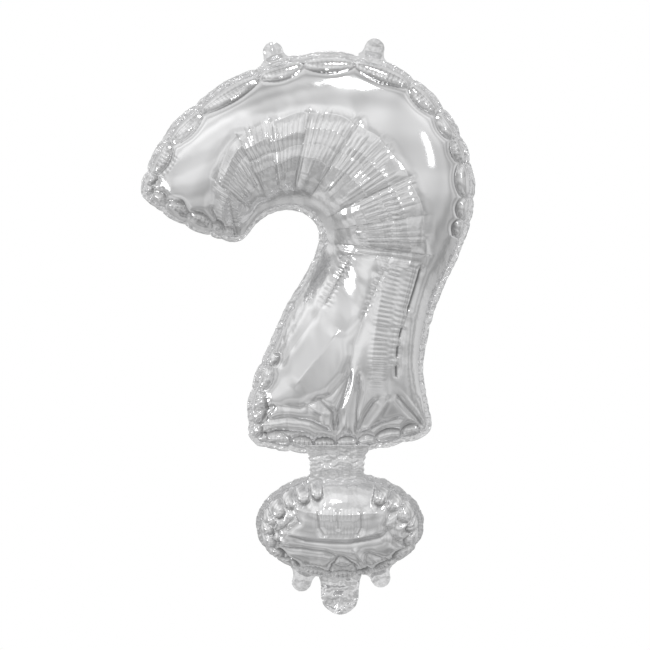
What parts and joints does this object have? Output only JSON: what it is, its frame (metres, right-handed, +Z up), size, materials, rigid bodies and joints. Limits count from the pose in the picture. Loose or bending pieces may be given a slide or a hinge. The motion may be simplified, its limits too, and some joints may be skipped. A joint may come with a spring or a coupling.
{
  "type": "question mark foil balloon",
  "caption": "Air-filled silver film balloon shaped as a question mark: a puffy hook, a tilted oval dot on a film neck, hanging tabs and an inflation tail.",
  "frame": {"origin": "midway between the middles of the two tabs on top, where the balloon is hung", "axes": "+Z up, +X to the viewer's right from the front, front faces -Y; the hook's weld lies in the plane Y = 0"},
  "size_m": [0.2059, 0.0858, 0.3597],
  "materials": {
    "silver_film": "mirror-bright metallised film, puckered along the welds",
    "silver_weld": "satin, crimped where the two films are welded",
    "silver_tab": "bright flat double film",
    "silver_tail": "bright crumpled double film"
  },
  "bodies": {
    "hook_body": {"hook_front_panel": "silver_film", "hook_back_panel": "silver_film", "hook_seam": "silver_weld", "neck": "silver_film"},
    "dot_body": {"dot_front_panel": "silver_film", "dot_back_panel": "silver_film", "dot_seam": "silver_weld"},
    "tail": {"inflation_tail": "silver_tail"},
    "left_bottom_tab": {"bottom_tab_left": "silver_tab"},
    "right_bottom_tab": {"bottom_tab_right": "silver_tab"},
    "left_top_tab": {"top_tab_left": "silver_tab"},
    "right_top_tab": {"top_tab_right": "silver_tab"}
  },
  "joints": [
    {"name": "neck_flex", "type": "hinge", "parent": "hook_body", "child": "dot_body", "pos_m": [0.008, 0, -0.2613], "axis": [1, 0, 0], "range_deg": [-90, 40], "stiffness_Nm_per_rad": 0.004},
    {"name": "tail_flap", "type": "hinge", "parent": "dot_body", "child": "tail", "pos_m": [0.01, 0.03189, -0.32969], "axis": [1, 0, 0], "range_deg": [-55, 105], "stiffness_Nm_per_rad": 0.0004},
    {"name": "bottom_tab_left_flap", "type": "hinge", "parent": "dot_body", "child": "left_bottom_tab", "pos_m": [-0.01235, 0.03045, -0.32661], "axis": [0.95, 0.132, -0.283], "range_deg": [-55, 105], "stiffness_Nm_per_rad": 0.0001},
    {"name": "bottom_tab_right_flap", "type": "hinge", "parent": "dot_body", "child": "right_bottom_tab", "pos_m": [0.03427, 0.03016, -0.32598], "axis": [0.9403, -0.1438, 0.3083], "range_deg": [-55, 105], "stiffness_Nm_per_rad": 0.0001},
    {"name": "top_tab_left_flap", "type": "hinge", "parent": "hook_body", "child": "left_top_tab", "pos_m": [-0.03032, 0, -0.00677], "axis": [0.9612, 0, 0.2758], "range_deg": [-80, 80], "stiffness_Nm_per_rad": 0.0001},
    {"name": "top_tab_right_flap", "type": "hinge", "parent": "hook_body", "child": "right_top_tab", "pos_m": [0.03002, 0, -0.00479], "axis": [0.9629, 0, -0.2699], "range_deg": [-80, 80], "stiffness_Nm_per_rad": 0.0001}
  ]
}
